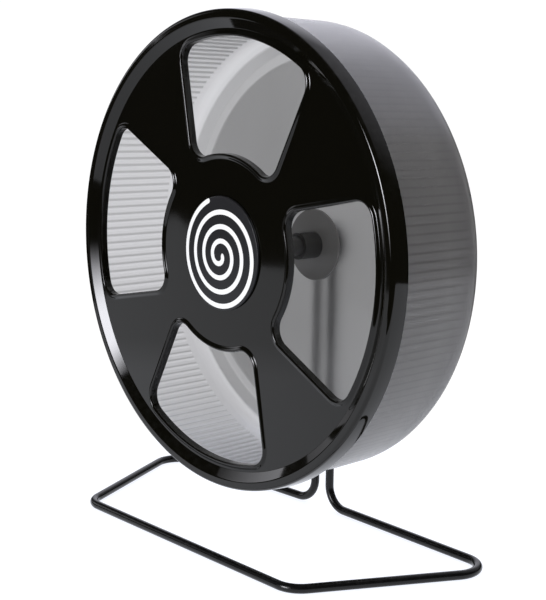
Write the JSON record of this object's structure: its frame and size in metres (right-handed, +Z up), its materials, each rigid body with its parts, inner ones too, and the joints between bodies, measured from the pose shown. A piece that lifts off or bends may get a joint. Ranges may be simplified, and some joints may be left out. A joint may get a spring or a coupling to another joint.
{
  "type": "rodent exercise wheel",
  "caption": "Free-standing exercise wheel for small rodents: smoky ribbed drum behind a windowed black front plate, turning on an axle carried by a bent-wire stand.",
  "frame": {"origin": "on the floor, in the middle of the footprint", "axes": "+Z up, +X to the right seen from the front, +Y from the front plate towards the back along the axle"},
  "size_m": [0.2898, 0.128, 0.3133],
  "materials": {
    "black_gloss_plastic": "high gloss",
    "smoky_plastic": "see-through smoke grey, polished",
    "grey_cap_plastic": "satin with a white printed spiral",
    "black_plastic": "satin moulded",
    "bush_plastic": "natural acetal",
    "black_paint": "gloss black paint on steel rod",
    "zinc_steel": "zinc plated"
  },
  "bodies": {
    "stand": {"stand_wire": "black_paint", "stand_head": "black_plastic", "head_cover": "black_plastic", "clamp_screws": "zinc_steel", "axle_bolt": "zinc_steel", "axle_sleeve": "zinc_steel", "front_washer": "zinc_steel", "thrust_washer": "zinc_steel", "nut_washer": "zinc_steel", "axle_nut": "zinc_steel"},
    "wheel": {"front_plate": "black_gloss_plastic", "drum": "smoky_plastic", "hub_tube": "black_plastic", "rear_flange": "black_plastic", "retaining_ring": "black_plastic", "front_bush": "bush_plastic", "rear_bush": "bush_plastic", "hub_cap": "grey_cap_plastic"}
  },
  "joints": [
    {"name": "wheel_spin", "type": "hinge", "parent": "stand", "child": "wheel", "pos_m": [0, 0, 0.1724], "axis": [0, 1, 0], "continuous": true}
  ]
}
